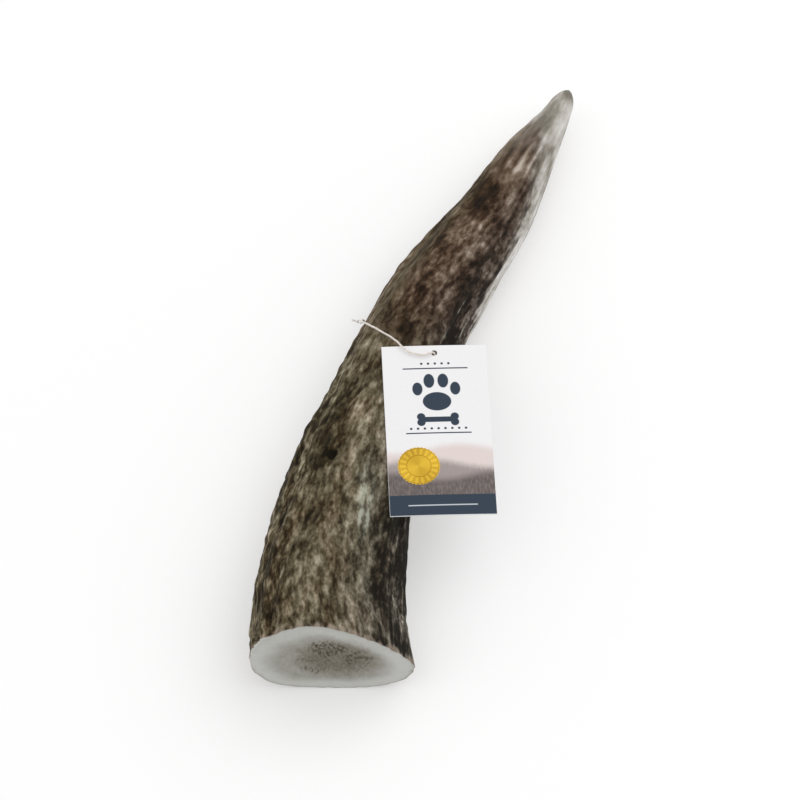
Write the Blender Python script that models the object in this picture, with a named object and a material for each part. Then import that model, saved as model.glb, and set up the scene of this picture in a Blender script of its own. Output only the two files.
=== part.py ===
"""A piece of deer antler, sawn off square at its thick end, with a card hang tag on a cotton string.

Metres, +Z up.  The antler lies on its side along +Y on a surface at z = 0: its sawn face looks along
-Y and its tip bends towards +X.  The origin is on that surface, under the middle of the antler.
"""

import math

import bmesh
import bpy
from mathutils import Matrix, Vector, noise

MM = 0.001

# Where the middle of the sawn face stands, so that the origin is under the middle of the antler.
BASE_CENTRE = Vector((-27.5, -114.5, 0.0))

# The antler's sections, in millimetres from the sawn face: how far along it, how far across the
# middle of the section is, half its width, half its thickness, and how high its underside is.
# It touches the surface at the thick end and again two thirds along; between them it arches, and
# its tip turns up.
STATIONS = (
    (0.0, 0.0, 26.0, 20.4, 0.0),
    (18.0, -1.1, 24.2, 19.4, 0.0),
    (36.0, 0.6, 22.5, 18.4, 0.0),
    (55.0, 3.8, 21.2, 17.6, 0.0),
    (74.0, 8.1, 20.1, 16.8, 0.4),
    (94.0, 15.2, 18.0, 15.4, 1.2),
    (113.0, 22.5, 17.0, 14.8, 1.9),
    (133.0, 30.4, 16.0, 14.1, 1.0),
    (155.0, 42.2, 14.8, 13.2, 0.0),
    (166.0, 48.8, 14.0, 11.9, 0.2),
    (177.0, 54.7, 12.5, 10.4, 0.7),
    (198.0, 64.9, 9.4, 8.1, 2.7),
    (215.0, 74.0, 5.4, 5.1, 5.3),
    (223.0, 77.8, 3.7, 3.6, 6.8),
    (227.5, 79.8, 2.7, 2.7, 7.8),
)
ACROSS, HALF_WIDTH, HALF_THICKNESS, UNDERSIDE = 1, 2, 3, 4
LENGTH = STATIONS[-1][0]
TIP_ROUNDING = 6.0
SQUARE_REACH = 12.0

# The thick end is egg-shaped rather than oval, and turns oval along this length.
EGG_REACH = 80.0
EGG_WIDEST = 0.41
EGG_LEAN = 5.6
EGG_TILT = 0.07
EGG_UPPER_POWER = 1.5
EGG_LOWER_POWER = 2.65

# The skin: broad swellings, and ridges that run along the antler; both are lower at the cut and
# fade out at the tip.
SWELLING_HEIGHT = 0.7
SWELLING_TURNS = 1.3
SWELLING_LENGTH = 32.0
RIDGE_HEIGHT = 0.95
RIDGE_TURNS = 4.2
RIDGE_LENGTH = 26.0
RIDGES_FADE = (140.0, 215.0)
RIDGES_LEFT_AT_TIP = 0.2
RIDGES_LEFT_AT_CUT = 0.5
CUT_REACH = 14.0

# The sawn face: a compact rim round a spongy core that is worn a little below it and uneven.
SAWN_CHAMFER = 0.6
RIM_SHARE = 0.66
CORE_RINGS = (0.62, 0.54, 0.45, 0.36, 0.27, 0.18, 0.09)
CORE_DEPTH = 0.6
CORE_UNEVENNESS = 0.5
CORE_LUMP_SIZE = 3.4

# One small round pit on the upper side.
PIT_ALONG = 65.2
PIT_ANGLE = math.radians(111.5)
PIT_SIZE = (1.9, 2.4, 1.5)

AROUND = 72
ALONG = 47

# The hang tag: a card with a punched hole, resting nearly level on the antler's upper right side.
TAG_WIDTH = 34.0
TAG_HEIGHT = 62.0
TAG_THICKNESS = 0.5
TAG_CENTRE = (6.05, -38.2, 32.3)
TAG_TURN = (2.7, 2.0, 2.8)
HOLE_DIAMETER = 2.0
HOLE_BELOW_TOP = 2.8
HOLE_SIDES = 20

# The string: from its knot over the antler, down through the tag's hole, and back under the antler.
STRING_DIAMETER = 0.66
STRING_ROUTE = (
    (-18.8, 8.9, 23.0),
    (-18.1, 7.7, 24.6),
    (-17.3, 6.0, 26.6),
    (-16.0, 3.9, 28.6),
    (-14.0, 1.8, 30.0),
    (-11.8, -0.5, 31.1),
    (-9.7, -2.3, 31.8),
    (-8.4, -4.2, 33.0),
    (-7.3, -6.1, 34.5),
    (-6.2, -7.9, 35.2),
    (-4.9, -9.4, 35.2),
    (-3.3, -10.5, 35.0),
    (-1.3, -11.2, 34.95),
    (0.9, -11.5, 34.9),
    (2.4, -11.3, 35.0),
    (3.95, -10.65, 35.0),
    (4.75, -10.05, 33.6),
    (5.1, -9.9, 31.8),
    (6.1, -9.8, 28.9),
    (7.9, -10.2, 25.2),
    (9.9, -10.8, 21.2),
    (10.9, -10.9, 16.7),
    (10.2, -10.3, 12.4),
    (8.6, -9.3, 8.0),
    (5.5, -7.5, 4.7),
    (2.3, -5.5, 2.3),
    (-0.9, -3.0, 0.9),
    (-4.5, 1.5, 0.6),
    (-7.2, 5.6, 1.2),
    (-10.1, 9.2, 2.2),
    (-13.2, 12.0, 5.0),
    (-15.5, 13.3, 8.6),
    (-17.6, 14.0, 12.4),
    (-18.1, 13.8, 15.8),
    (-18.6, 12.7, 18.5),
    (-19.1, 11.1, 20.4),
)
STRING_POINTS = 76

# The knot: a small lump at the antler's left side, with the string's two cut ends.
KNOT_CENTRE = (-19.6, 9.9, 21.8)
KNOT_SIZE = (1.2, 1.2, 1.2)
END_LENGTH = 2.6
END_DIRECTIONS = ((-0.90, 0.10, 0.42), (-0.93, 0.30, -0.10))


def smooth_step(share):
    """0 below 0, 1 above 1, and smooth between."""
    share = min(max(share, 0.0), 1.0)
    return share * share * (3.0 - 2.0 * share)


def slope(row, column):
    """How fast a column of STATIONS changes along the antler at one of its rows."""
    before = STATIONS[max(row - 1, 0)]
    after = STATIONS[min(row + 1, len(STATIONS) - 1)]
    return (after[column] - before[column]) / (after[0] - before[0])


def station(along, column):
    """A column of STATIONS, read on a smooth curve through its rows."""
    row = 0
    while row < len(STATIONS) - 2 and along > STATIONS[row + 1][0]:
        row += 1
    start, end = STATIONS[row], STATIONS[row + 1]
    gap = end[0] - start[0]
    t = (along - start[0]) / gap
    rise = (3.0 - 2.0 * t) * t * t
    leaving = slope(row, column) * gap * t * (1.0 - t) ** 2
    arriving = slope(row + 1, column) * gap * t * t * (1.0 - t)
    return start[column] + (end[column] - start[column]) * rise + leaving - arriving


def relief(along, angle):
    """How far the skin stands out from the smooth section, in millimetres."""
    turn = Vector((math.cos(angle), math.sin(angle), 0.0))
    swelling = noise.noise(turn * SWELLING_TURNS + Vector((7.0, 3.0, along / SWELLING_LENGTH)))
    ridges = noise.noise(turn * RIDGE_TURNS + Vector((0.0, 0.0, along / RIDGE_LENGTH)))
    fade_start, fade_end = RIDGES_FADE
    worn = smooth_step((along - fade_start) / (fade_end - fade_start))
    height = 1.0 - worn * (1.0 - RIDGES_LEFT_AT_TIP)
    height *= RIDGES_LEFT_AT_CUT + (1.0 - RIDGES_LEFT_AT_CUT) * smooth_step(along / CUT_REACH)
    return (SWELLING_HEIGHT * swelling + RIDGE_HEIGHT * ridges) * height


def tip_share(along):
    """1 along the antler, falling to 0 at the tip so that the tip is rounded."""
    share = max(0.0, (along - (LENGTH - TIP_ROUNDING)) / TIP_ROUNDING)
    return math.sqrt(max(0.0, 1.0 - share * share))


def skin_point(along, angle, share=1.0):
    """A point of the antler's section at a distance along it; a share below 1 lies inside it."""
    egg = 1.0 - smooth_step(along / EGG_REACH)
    thickness = 2.0 * station(along, HALF_THICKNESS)
    widest = thickness * (0.5 + (EGG_WIDEST - 0.5) * egg)
    across, up = math.cos(angle), math.sin(angle)
    height = thickness - widest if up > 0.0 else widest
    power = 2.0 + ((EGG_UPPER_POWER if up > 0.0 else EGG_LOWER_POWER) - 2.0) * egg
    half_width = station(along, HALF_WIDTH)
    radius = (abs(across / half_width) ** power + abs(up / height) ** power) ** (-1.0 / power)
    radius = (radius + relief(along, angle)) * tip_share(along) * share
    u, w = radius * across, radius * up
    u -= EGG_LEAN * egg * max(w, 0.0) / (thickness - widest)
    w -= EGG_TILT * egg * u * min(1.0, max(0.0, (w + widest) / widest))
    heading = math.atan(slope_at(along)) * smooth_step(along / SQUARE_REACH)
    x = station(along, ACROSS) + u * math.cos(heading)
    y = along - u * math.sin(heading)
    z = station(along, UNDERSIDE) + widest + w
    return (BASE_CENTRE + Vector((x, y, max(z, 0.0)))) * MM


def slope_at(along):
    """How fast the antler's middle moves across at a distance along it."""
    step = 0.5
    low, high = max(0.0, along - step), min(LENGTH, along + step)
    return (station(high, ACROSS) - station(low, ACROSS)) / (high - low)


def core_point(angle, share):
    """A point of the spongy core, which is uneven and a little below the sawn rim."""
    point = skin_point(0.0, angle, share)
    lumps = noise.noise(point / MM / CORE_LUMP_SIZE)
    point.y += (CORE_DEPTH + CORE_UNEVENNESS * lumps) * MM
    return point


def extrude_ring(bm, ring, place):
    """Extrudes a closed ring of vertices and puts each new vertex where place(angle) says."""
    edges = [bm.edges.get((ring[i], ring[i - 1])) for i in range(len(ring))]
    made = bmesh.ops.extrude_edge_only(bm, edges=edges)["geom"]
    new = {v for v in made if isinstance(v, bmesh.types.BMVert)}
    following = []
    for i, vertex in enumerate(ring):
        partner = next(e.other_vert(vertex) for e in vertex.link_edges if e.other_vert(vertex) in new)
        partner.co = place(2.0 * math.pi * i / len(ring))
        following.append(partner)
    return following


def close_ring(bm, ring, tip):
    """Closes a ring with a fan of triangles round one point."""
    face = bm.faces.new(ring)
    centre = bmesh.ops.poke(bm, faces=[face])["verts"][0]
    centre.co = tip


def antler_mesh():
    """The antler as one closed mesh: its skin from the sawn edge to the tip, and its sawn face."""
    bm = bmesh.new()
    edge = bmesh.ops.create_circle(bm, segments=AROUND, radius=1.0)["verts"]
    for i, vertex in enumerate(edge):
        vertex.co = skin_point(SAWN_CHAMFER, 2.0 * math.pi * i / AROUND)
    ring = edge
    last = LENGTH - 0.25
    for step in range(1, ALONG + 1):
        share = step / ALONG
        along = SAWN_CHAMFER + (last - SAWN_CHAMFER) * (share + 0.12 * share * (1.0 - share))
        ring = extrude_ring(bm, ring, lambda a, y=along: skin_point(y, a))
    close_ring(bm, ring, skin_point(LENGTH, 0.0, 0.0))
    sawn_edge = 1.0 - SAWN_CHAMFER / STATIONS[0][HALF_WIDTH]
    ring = edge
    for share in (sawn_edge, 0.5 * (sawn_edge + RIM_SHARE), RIM_SHARE):
        ring = extrude_ring(bm, ring, lambda a, s=share: skin_point(0.0, a, s))
    for share in CORE_RINGS:
        ring = extrude_ring(bm, ring, lambda a, s=share: core_point(a, s))
    close_ring(bm, ring, core_point(0.0, 0.0))
    bmesh.ops.recalc_face_normals(bm, faces=bm.faces)
    mesh = bpy.data.meshes.new("antler")
    bm.to_mesh(mesh)
    bm.free()
    return mesh


def material(name, colour, roughness):
    """A plain material of one colour."""
    made = bpy.data.materials.new(name)
    made.use_nodes = True
    shader = made.node_tree.nodes["Principled BSDF"]
    shader.inputs["Base Color"].default_value = (*colour, 1.0)
    shader.inputs["Roughness"].default_value = roughness
    return made


def add(name, data, finish):
    """Puts a mesh or a curve in the scene as a named object with its material."""
    made = bpy.data.objects.new(name, data)
    bpy.context.scene.collection.objects.link(made)
    data.materials.append(finish)
    return made


def pit_cutter():
    """A small flattened ball on the antler's skin, which cuts the pit."""
    bm = bmesh.new()
    bmesh.ops.create_uvsphere(bm, u_segments=12, v_segments=8, radius=MM)
    place = skin_point(PIT_ALONG, PIT_ANGLE)
    out = (place - skin_point(PIT_ALONG, PIT_ANGLE, 0.9)).normalized()
    turn = Vector((0.0, 0.0, 1.0)).rotation_difference(out).to_matrix().to_4x4()
    bm.transform(Matrix.Translation(place) @ turn @ Matrix.Diagonal((*PIT_SIZE, 1.0)))
    mesh = bpy.data.meshes.new("pit_cutter")
    bm.to_mesh(mesh)
    bm.free()
    cutter = bpy.data.objects.new("pit_cutter", mesh)
    bpy.context.scene.collection.objects.link(cutter)
    cutter.hide_render = True
    cutter.display_type = "WIRE"
    return cutter


def build_antler():
    """The antler, with its pit cut out."""
    mesh = antler_mesh()
    mesh.shade_smooth()
    antler = add("antler", mesh, material("antler", (0.09, 0.07, 0.05), 0.6))
    cut = antler.modifiers.new("pit", "BOOLEAN")
    cut.operation = "DIFFERENCE"
    cut.object = pit_cutter()
    return antler


def ring_spline(curve, points):
    """Adds a closed outline of straight sides to a flat curve."""
    spline = curve.splines.new("POLY")
    spline.points.add(len(points) - 1)
    for point, (x, y) in zip(spline.points, points):
        point.co = (x, y, 0.0, 1.0)
    spline.use_cyclic_u = True


def build_tag():
    """The card tag, with a hole punched under the middle of its top edge."""
    curve = bpy.data.curves.new("hang_tag", "CURVE")
    curve.dimensions = "2D"
    curve.fill_mode = "BOTH"
    curve.extrude = 0.5 * TAG_THICKNESS * MM
    right, top = 0.5 * TAG_WIDTH * MM, 0.5 * TAG_HEIGHT * MM
    ring_spline(curve, ((-right, -top), (right, -top), (right, top), (-right, top)))
    hole_up, hole_radius = top - HOLE_BELOW_TOP * MM, 0.5 * HOLE_DIAMETER * MM
    turns = [2.0 * math.pi * i / HOLE_SIDES for i in range(HOLE_SIDES)]
    hole = [(hole_radius * math.cos(a), hole_up + hole_radius * math.sin(a)) for a in turns]
    ring_spline(curve, hole)
    tag = add("hang_tag", curve, material("tag_card", (0.85, 0.85, 0.86), 0.5))
    tag.location = Vector(TAG_CENTRE) * MM
    tag.rotation_euler = [math.radians(angle) for angle in TAG_TURN]
    return tag


def smooth_path(points, count):
    """Points at even distances along a smooth curve through the given points."""
    ends = [2.0 * points[0] - points[1]], [2.0 * points[-1] - points[-2]]
    knots = ends[0] + points + ends[1]
    fine = []
    for before, start, end, after in zip(knots, knots[1:], knots[2:], knots[3:]):
        leaving, arriving = 0.5 * (end - before), 0.5 * (after - start)
        for i in range(16):
            t = i / 16.0
            rise = (3.0 - 2.0 * t) * t * t
            bend = leaving * t * (1.0 - t) ** 2 - arriving * t * t * (1.0 - t)
            fine.append(start + (end - start) * rise + bend)
    fine.append(points[-1])
    walked = [0.0]
    for start, end in zip(fine, fine[1:]):
        walked.append(walked[-1] + (end - start).length)
    path, i = [], 0
    for step in range(count):
        goal = walked[-1] * step / (count - 1)
        while i < len(fine) - 2 and walked[i + 1] < goal:
            i += 1
        share = (goal - walked[i]) / (walked[i + 1] - walked[i])
        path.append(fine[i].lerp(fine[i + 1], share))
    return path


def build_string():
    """The string, as one round tube along its route."""
    curve = bpy.data.curves.new("tag_string", "CURVE")
    curve.dimensions = "3D"
    curve.bevel_depth = 0.5 * STRING_DIAMETER * MM
    curve.bevel_resolution = 2
    curve.use_fill_caps = True
    path = smooth_path([Vector(point) * MM for point in STRING_ROUTE], STRING_POINTS)
    spline = curve.splines.new("POLY")
    spline.points.add(len(path) - 1)
    for point, place in zip(spline.points, path):
        point.co = (*place, 1.0)
    return add("tag_string", curve, material("string", (0.80, 0.77, 0.70), 0.9))


def build_knot():
    """The knot, with the string's two ends standing out of it."""
    bm = bmesh.new()
    bmesh.ops.create_uvsphere(bm, u_segments=12, v_segments=8, radius=MM)
    bm.transform(Matrix.Diagonal((*KNOT_SIZE, 1.0)))
    for direction in END_DIRECTIONS:
        out = Vector(direction).normalized()
        bm.faces.ensure_lookup_table()
        root = max(bm.faces, key=lambda face: face.normal.dot(out))
        end = bmesh.ops.extrude_discrete_faces(bm, faces=[root])["faces"][0]
        bmesh.ops.translate(bm, verts=end.verts, vec=out * END_LENGTH * MM)
    bm.transform(Matrix.Translation(Vector(KNOT_CENTRE) * MM))
    mesh = bpy.data.meshes.new("string_knot")
    bm.to_mesh(mesh)
    bm.free()
    mesh.shade_smooth()
    return add("string_knot", mesh, material("string_knot", (0.80, 0.77, 0.70), 0.9))


def clear_scene():
    """Removes what the scene holds."""
    for old in list(bpy.data.objects):
        bpy.data.objects.remove(old)


def main():
    clear_scene()
    build_antler()
    build_tag()
    build_string()
    build_knot()


main()
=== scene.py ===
"""A piece of deer antler with its hang tag: finish, string, floor, light and camera."""

import math
import random

import bmesh
import bpy
import numpy as np
from mathutils import Matrix, Vector, geometry, noise


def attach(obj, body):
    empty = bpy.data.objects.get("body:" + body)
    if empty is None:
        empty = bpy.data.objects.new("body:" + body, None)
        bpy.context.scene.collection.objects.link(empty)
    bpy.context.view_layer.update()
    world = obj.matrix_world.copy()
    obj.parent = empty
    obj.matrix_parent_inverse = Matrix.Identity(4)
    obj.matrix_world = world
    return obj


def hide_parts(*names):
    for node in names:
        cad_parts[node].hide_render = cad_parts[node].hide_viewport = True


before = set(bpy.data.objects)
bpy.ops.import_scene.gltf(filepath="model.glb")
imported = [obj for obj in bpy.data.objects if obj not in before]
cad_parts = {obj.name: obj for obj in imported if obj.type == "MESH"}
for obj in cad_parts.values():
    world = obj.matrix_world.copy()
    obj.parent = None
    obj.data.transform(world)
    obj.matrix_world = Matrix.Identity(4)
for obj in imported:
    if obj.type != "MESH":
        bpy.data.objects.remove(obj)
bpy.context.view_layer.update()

MM = 0.001

# The camera looks along +Y and down, from far enough to flatten the view as a product shot does.
CAMERA_AIM = Vector((-6.33, -16.3, 15.0))
CAMERA_ELEVATION = math.radians(58.0)
CAMERA_DISTANCE = 1200.0
CAMERA_LENS = 165.0
CAMERA_SENSOR = 36.0
CAMERA_REACH = 20.0

# The antler's form, in millimetres along it, across it and up, as in its solid.
BASE_CENTRE = Vector((-27.5, -114.5, 0.0))
STATIONS = (
    (0.0, 0.0, 26.0, 20.4, 0.0),
    (18.0, -1.1, 24.2, 19.4, 0.0),
    (36.0, 0.6, 22.5, 18.4, 0.0),
    (55.0, 3.8, 21.2, 17.6, 0.0),
    (74.0, 8.1, 20.1, 16.8, 0.4),
    (94.0, 15.2, 18.0, 15.4, 1.2),
    (113.0, 22.5, 17.0, 14.8, 1.9),
    (133.0, 30.4, 16.0, 14.1, 1.0),
    (155.0, 42.2, 14.8, 13.2, 0.0),
    (166.0, 48.8, 14.0, 11.9, 0.2),
    (177.0, 54.7, 12.5, 10.4, 0.7),
    (198.0, 64.9, 9.4, 8.1, 2.7),
    (215.0, 74.0, 5.4, 5.1, 5.3),
    (223.0, 77.8, 3.7, 3.6, 6.8),
    (227.5, 79.8, 2.7, 2.7, 7.8),
)
ACROSS, HALF_WIDTH, HALF_THICKNESS, UNDERSIDE = 1, 2, 3, 4
LENGTH = STATIONS[-1][0]
TIP_ROUNDING = 6.0
SQUARE_REACH = 12.0
EGG_REACH = 80.0
EGG_WIDEST = 0.41
EGG_LEAN = 5.6
EGG_TILT = 0.07
EGG_UPPER_POWER = 1.5
EGG_LOWER_POWER = 2.65
SWELLING_HEIGHT = 0.7
SWELLING_TURNS = 1.3
SWELLING_LENGTH = 32.0
RIDGE_HEIGHT = 0.95
RIDGE_TURNS = 4.2
RIDGE_LENGTH = 26.0
RIDGES_FADE = (140.0, 215.0)
RIDGES_LEFT_AT_TIP = 0.2
RIDGES_LEFT_AT_CUT = 0.5
CUT_REACH = 14.0
SAWN_CHAMFER = 0.6

# The skin's fine relief: each layer's height, and its size round and along the antler.  The lumps fade
# out along it.  The knobs stand on the left flank alone, from a share of its half width outwards.
STREAKS = (0.17, 2.0, 10.0)
FLECKS = (0.10, 1.1, 3.4)
LUMPS = (0.34, 2.8, 4.6)
LUMPS_FADE = (70.0, 170.0)
KNOBS = (0.75, 2.6, 3.8)
KNOBS_FROM = 0.30
KNOBS_FADE = (60.0, 190.0)
KNOBS_LEFT_AT_TIP = 0.35
GROOVES = (0.30, 8.0, 60.0)
GROOVE_WIDTH = 0.08
FINE_LEFT_AT_TIP = 0.12

# The skin's pattern: each layer's scale round and along the antler, blotches and flecks being rounder on
# its upper part; how much the layers weigh in its coarse and fine parts and in the flanks' streaks; and
# by how much the coarse part grows where the skin is warm, from a least share.
LAYERS = {"mottle": (0.10, 0.05), "blotch": (0.34, 0.13), "fleck": (0.70, 0.34), "speck": (1.50, 0.85),
          "fibre": (0.66, 0.060)}
UPPER_LAYERS = {"blotch": (0.34, 0.17), "fleck": (0.74, 0.44)}
LAYER_DETAIL = 1.2
COARSE = {"mottle": 0.9, "blotch": 1.1}
FINE = {"fleck": 1.08, "speck": 0.50}
STREAKY = {"fibre": 1.1}
RELIEF_WEIGHT = 0.06
MEAN_TONE = 0.43
COARSE_BY_WARMTH = (0.33, 0.87)

# The skin's hue: its scale, where it turns from olive to brown, and how grey the neutral flank is.
HUE = (0.22, 0.10)
HUE_EDGE = (-0.08, 0.16)
NEUTRAL_SATURATION = -0.42

# How ragged the pattern makes the edges of the greenish streaks, the faded skin, the black shade painted in
# the pit, the worn bone and the skin that looks sawn, and between which values each of them sets in; two
# more values are its least and its most.  Towards the tip the worn bone's edge is less ragged.  The last
# pair is where the sawn face itself sets in.
COOL_RAGGED = {"fibre": 2.4, "fleck": 2.6, "speck": 1.4}
COOL_EDGE = (0.05, 1.45, 0.12, 0.82)
FADED_RAGGED = {"fibre": 2.2, "blotch": 1.6}
FADED_EDGE = (0.10, 0.70, 0.0, 0.45)
HAZE = 0.50
PIT_RAGGED = {"fleck": 0.6}
PIT_EDGE = (1.20, 0.80)
WORN_RAGGED = {"fibre": 5.0, "fleck": 2.0, "blotch": 2.0}
WORN_LESS_RAGGED = {"fibre": 2.2, "fleck": 1.6}
WORN_EDGE = (0.15, 0.85)
SAWN_RAGGED = {"blotch": 1.6, "fleck": 1.0}
SAWN_EDGE = (0.33, 1.06, 0.0, 0.6)
SAWN_FACE = (0.90, 0.99)

# The worn bone's clouds, their weight, and the fibres and flecks in it, which are fainter at the tip.
BONE_CLOUD = (0.20, 0.20, 0.07)
BONE_CLOUD_WEIGHT = 1.6
BONE_MEAN = 0.37
BONE_PATTERN = {"fibre": 0.90, "fleck": 0.70}
BONE_LESS_PATTERN = {"fibre": 0.50, "fleck": 0.50}

# The antler's roughness from skin to bone, and the fine bumps of both.
ROUGHNESS = (0.75, 0.45)
BUMPS = {"fleck": 0.7, "blotch": 1.0}
BUMP_HEIGHT = 0.00020

# Between these distances the pattern fades and pales towards the tip.
POLISHED = (160.0, 208.0)
POLISHED_CONTRAST = 0.62
POLISHED_LIFT = 0.24

# The pit in the upper side: its place, its reach across and along, where it ends in shares of that, its
# depth, and the scale of the black shade painted in it.
PIT_ALONG = 65.2
PIT_ANGLE = math.radians(111.5)
PIT_RADIUS = (1.9, 2.4)
PIT_END = 1.25
PIT_DEPTH = 1.3
PIT_SHADE_SCALE = (0.46, 0.46, 0.56)

# The sawn face, in shares of its radius: where its pale rim turns beige, and where the spongy core that
# lies lower begins.  Both are moved a little off the middle, and the rim is wider along the bottom, which
# paints painted light against the shade there.
CORE_TINT = (0.90, 0.60)
CORE_EDGE = (0.70, 0.50)
CORE_SHIFT = (-0.035, 0.03)
CORE_WAVER = 0.05
CORE_DEPTH = 0.45
CORE_UNEVENNESS = 0.35
LOW_RIM_WIDER = 0.05

CORE_LUMPS = 2.6

# The core's darkest part: its middle across and up, its reach both ways, and where its edge fades.
CORE_HEART = (1.5, 2.6, 15.0, 13.0)
HEART_EDGE = (1.15, 0.40)

# How beige the rim is along its top, and along the very edge of its bottom, and how soon it is so.
UPPER_RIM_TINT = 0.27
UPPER_RIM_RISE = 1.4
LOW_EDGE_TINT = 0.9
LOW_EDGE_RISE = 3.0
LOW_EDGE_FROM = 0.98

# How sawn the skin looks where it meets the cut, how far that reaches along it, and round which angle it
# looks wholly sawn there.
SAWN_AT_SKIN = 0.86
SAWN_REACH = 3.0
SAWN_LEFT = (155.0, 26.0)

# The core's pores: their spacing, radius and depth, how closely they usually crowd, how much and over
# how many millimetres that varies, and where they crowd more, as (across, up, reach, how closely).
PORE_SPACING = (1.45, 2.2)
PORE_RADIUS = 0.36
PORE_DEPTH = 0.55
PORE_CROWDING = (0.22, 0.6, 3.5)
PORE_CLUSTERS = ((-1.2, 9.0, 4.8, 1.25), (8.5, 3.5, 5.0, 0.65), (-6.0, -2.0, 4.0, 0.45))

# How finely the antler is divided: round it, along it, and in bands across its sawn face, each with its
# outer and inner share of the radius, its number of rings and the vertices in a ring.  The skin's rings
# lie a little closer together towards the tip, and the last one lies just short of it.
AROUND = 384
ALONG = 214
FACE_RINGS = ((0.985, 0.70, 7, 384), (0.68, 0.40, 17, 192), (0.38, 0.14, 14, 96), (0.11, 0.03, 4, 48))
RINGS_CROWD = 0.04
LAST_RING = LENGTH - 0.12

# The antler's map: its skin lies lengthwise along the bottom, and its sawn face above it.
MAP_SCALE = 0.985 / LENGTH
MAP_AROUND = 0.58
MAP_MARGIN = 0.006
MAP_TIP = 0.995
FACE_MAP_CENTRE = (0.24, 0.795)
FACE_MAP_SCALE = 0.0083

# The worn pale strip, as (distance along, degrees): where its two edges run, and how soft they are.
STRIP_UPPER = ((116, -30), (124, -14), (131, -2), (141, 6), (150, 12), (162, 20), (172, 26), (180, 32),
               (188, 41), (196, 49), (202, 58), (206, 92), (211, 150), (216, 230))
STRIP_LOWER = ((116, -36), (141, -46), (181, -60), (196, -90), (205, -140), (212, -230))
STRIP_SOFTNESS = ((118, 6), (160, 7), (176, 10), (188, 16), (198, 32), (210, 50), (222, 80))

# Lighter (+) and darker (-) places of the skin: how far along, at which angle in degrees, how far it
# reaches along and round, and how much.
# The broad dark places round the right flank, near 15 to 25 degrees, are partly the skin's own dark colour
# and partly painted shade of that flank.
TONES = (
    (8, 50, 18, 18, 0.1), (8, 72, 13, 13, 0.11), (10, 158, 22, 14, -0.05), (11, 31, 6, 4, 0.14),
    (12, 18, 18, 20, -0.25), (13, 22, 8, 3.5, -0.14), (14, 100, 12, 12, 0.05), (20, 232, 24, 22, 0.08),
    (21, 35, 5, 4.5, -0.14), (22, 19, 7, 4.5, 0.18), (24, 124, 13, 13, -0.13), (26, 25, 5, 3, 0.12),
    (27, 148, 12, 14, -0.1), (28, 27, 10, 13, 0.1), (28, 70, 9, 12, -0.07), (31, 12, 9, 3.5, 0.12),
    (32, 38, 7, 3.5, -0.16), (34, 20, 5, 2.6, 0.16), (34, 196, 26, 18, -0.12), (36, 114, 14, 12, 0.11),
    (39, 28, 4.5, 4.5, 0.22), (40, 74, 10, 12, 0.03), (43, 22, 7, 2.6, 0.2), (44, 14, 26, 24, -0.54),
    (48, 104, 9, 9, -0.08), (49, 47, 8, 3, -0.16), (49, 128, 10, 10, 0.07), (51, 12, 7, 2.8, 0.16),
    (60, 50, 12, 13, 0.17), (62, 250, 30, 26, -0.14), (65, 122, 11, 14, -0.23), (66, 60, 9, 16, 0.06),
    (66, 150, 12, 12, -0.08), (74, 204, 20, 16, 0.12), (82, 97, 12, 11, 0.26), (84, 122, 13, 12, -0.25),
    (88, 316, 34, 24, -0.12), (98, 148, 17, 14, 0.29), (100, 104, 12, 18, -0.19), (110, 22, 18, 20, -0.24),
    (116, 138, 11, 13, -0.09), (118, 92, 10, 14, -0.12), (118, 262, 26, 28, 0.1), (120, 72, 14, 14, 0.08),
    (123, 24, 9, 12, -0.11), (124, 36, 13, 14, -0.19), (128, 188, 24, 20, -0.12), (129.5, 98, 6, 8, 0.18),
    (131, 63, 6, 4.5, 0.3), (135, 118, 14, 13, 0.15), (136, 146, 10, 12, -0.06), (137, 20, 10, 12, 0.1),
    (138, 98, 11, 12, -0.32), (139, 42, 14, 16, -0.25), (139, 71, 5, 4.5, 0.14), (144, 84, 12, 20, -0.05),
    (144.5, 60, 6, 6, -0.12), (146, 81, 5, 4.5, 0.14), (153.5, 88.5, 6, 4, 0.13), (154, 78, 14, 14, 0.15),
    (162, 44, 22, 13, -0.31), (166, 226, 20, 26, -0.1), (170, 80, 12, 3.5, 0.2), (176, 96, 15, 24, -0.07),
    (178, 52, 13, 2.6, 0.26), (180, 50, 9, 11, -0.2), (180, 118, 16, 22, -0.2), (188, 107, 9, 4, 0.14),
    (190, 94, 10, 4.5, -0.2), (193, 63, 9, 3.2, 0.3), (195, 83, 8, 3.6, 0.24), (196, 120, 9, 5, -0.12),
    (198, -8, 9, 20, -0.1), (198, 104, 9, 12, 0.09), (198, 142, 10, 12, 0.12), (199, 72, 9, 3.4, -0.22),
    (199, 76, 7, 9, 0.18), (200, 47, 8, 9, -0.2), (208, 86, 13, 30, -0.34), (219, 74, 6, 14, -0.12),
    (227, 100, 7, 90, -0.2),
)

# Pale greenish streaks, laid out in the same way; a last value leans a streak by so many degrees for
# each millimetre.  They also lighten the pattern under them.
COOL_STREAKS = (
    (44.5, 62.5, 5.0, 4.4, 1.00),
    (44.5, 56.5, 7.0, 3.8, 1.00),
    (51.5, 59.0, 6.5, 4.0, 0.90),
    (53.0, 67.0, 7.0, 4.6, 0.85),
    (60.0, 69.5, 5.0, 7.0, 0.65),
    (49.0, 61.5, 11.0, 9.0, 0.42),
    (133.0, 37.0, 4.5, 1.1, 0.75),
    (120.5, 40.0, 4.5, 1.1, 0.70, -0.55),
    (127.0, 18.0, 6.0, 1.1, 0.70, -0.40),
)
COOL_LIFT = 0.22

# The skin turns redder between these distances, but for an olive patch on the left, and is faded in a
# patch below the tip.
WARM_FROM = (92.0, 132.0)
OLIVE_PATCH = (148.0, 142.0, 46.0, 22.0)
HAZE_PATCH = (206.0, 124.0, 11.0, 46.0)

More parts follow.
